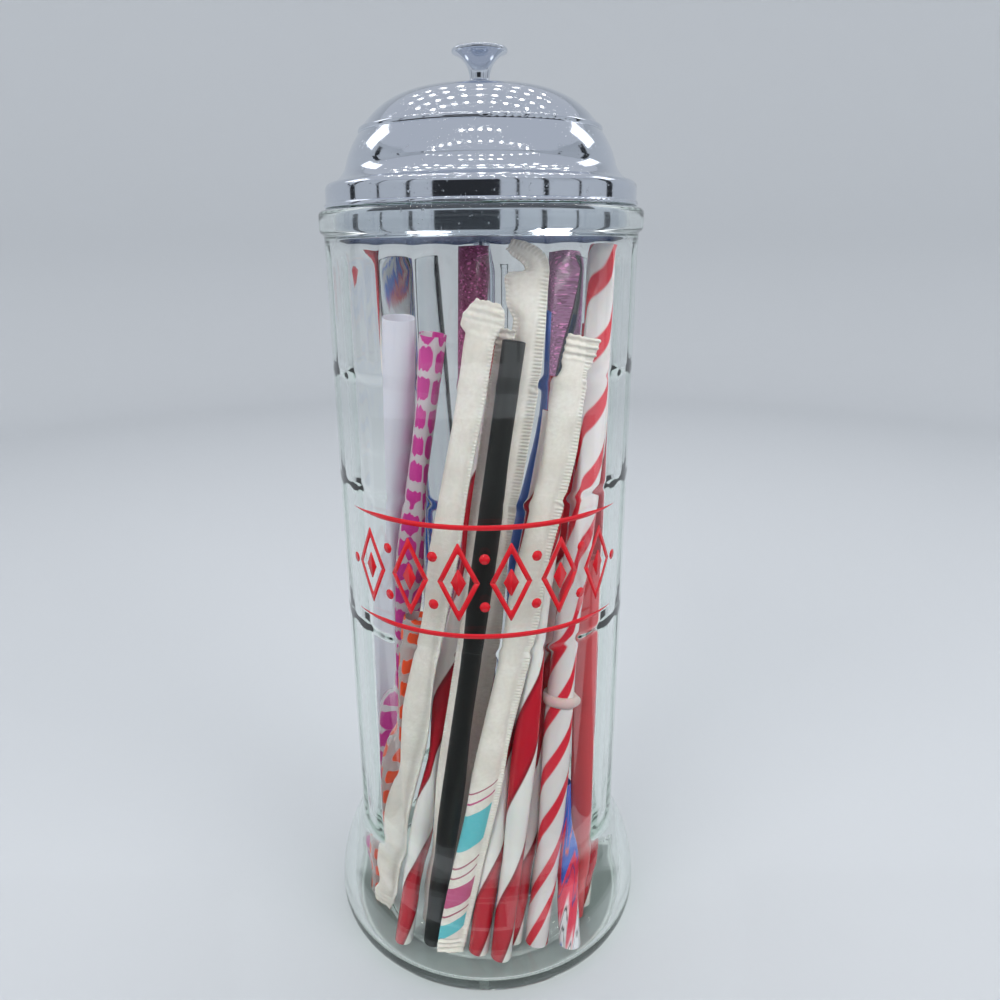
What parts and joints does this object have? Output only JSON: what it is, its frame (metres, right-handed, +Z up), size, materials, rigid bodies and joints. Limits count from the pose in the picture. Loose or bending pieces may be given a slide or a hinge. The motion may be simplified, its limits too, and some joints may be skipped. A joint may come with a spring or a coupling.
{
  "type": "drinking straw dispenser",
  "caption": "Tall clear glass straw jar with a flared foot, filled with assorted straws, under a domed chrome lid whose pull knob raises a lift plate.",
  "frame": {"origin": "centre of the base ring, on the surface that the jar stands on", "axes": "+Z up along the jar's axis, -Y to the front"},
  "size_m": [0.1132, 0.1132, 0.296],
  "materials": {
    "jar_glass": "pressed clear glass, polished",
    "chrome_lid": "bright plated sheet",
    "chrome_knob": "bright plated, turned",
    "plated_steel": "bright zinc-plated steel",
    "enamel_print": "fired glossy red enamel on the glass",
    "black_plastic": "extruded, satin gloss",
    "red_white_twist": "extruded in two colours, translucent",
    "candy_stripe": "extruded white with a red helical stripe",
    "marbled_plastic": "extruded white with blue and red streaks",
    "coral_plastic": "extruded, translucent coral",
    "lavender_plastic": "extruded, milky translucent",
    "magenta_print": "clear tube printed with magenta flecks",
    "orange_print": "clear tube printed with orange dots",
    "clear_plastic": "clear extruded tube",
    "pink_glitter": "translucent pink with glitter",
    "purple_glitter": "translucent purple with glitter",
    "blue_plastic": "translucent blue",
    "ring_plastic": "soft moulded, milky",
    "sleeve_paper": "thin crimped paper"
  },
  "bodies": {
    "root": {"glass_jar": "jar_glass", "straw_twist_left": "red_white_twist", "straw_black": "black_plastic", "straw_twist_front": "red_white_twist", "straw_twist_middle": "red_white_twist", "straw_twist_right": "red_white_twist", "straw_candy_stripe": "candy_stripe", "straw_stop_ring": "ring_plastic", "straw_marbled_short": "marbled_plastic", "straw_coral": "coral_plastic", "straw_twist_side": "red_white_twist", "straw_lavender": "lavender_plastic", "straw_magenta_print": "magenta_print", "straw_orange_print": "orange_print", "wrapped_straw_left": "sleeve_paper", "wrapped_straw_slim": "sleeve_paper", "wrapped_straw_bent": "sleeve_paper", "wrapped_straw_printed": "sleeve_paper"},
    "lifter": {"lid_shell": "chrome_lid", "lid_sleeve": "chrome_lid", "lid_knob": "chrome_knob", "lid_washer": "plated_steel", "lid_nut": "plated_steel", "lifter_rod": "plated_steel", "lifter_plate": "plated_steel", "plate_top_nut": "plated_steel", "plate_foot_nut": "plated_steel", "straw_red_white_back": "red_white_twist", "straw_clear_left": "clear_plastic", "straw_clear_centre": "clear_plastic", "straw_glitter_pink": "pink_glitter", "straw_clear_right": "clear_plastic", "straw_glitter_purple": "purple_glitter", "straw_clear_thin": "clear_plastic", "straw_marbled_back": "marbled_plastic", "straw_blue": "blue_plastic"}
  },
  "joints": [
    {"name": "lifter_lift", "type": "slide", "parent": "root", "child": "lifter", "axis": [0, 0, 1], "range_m": [0, 0.09]}
  ]
}
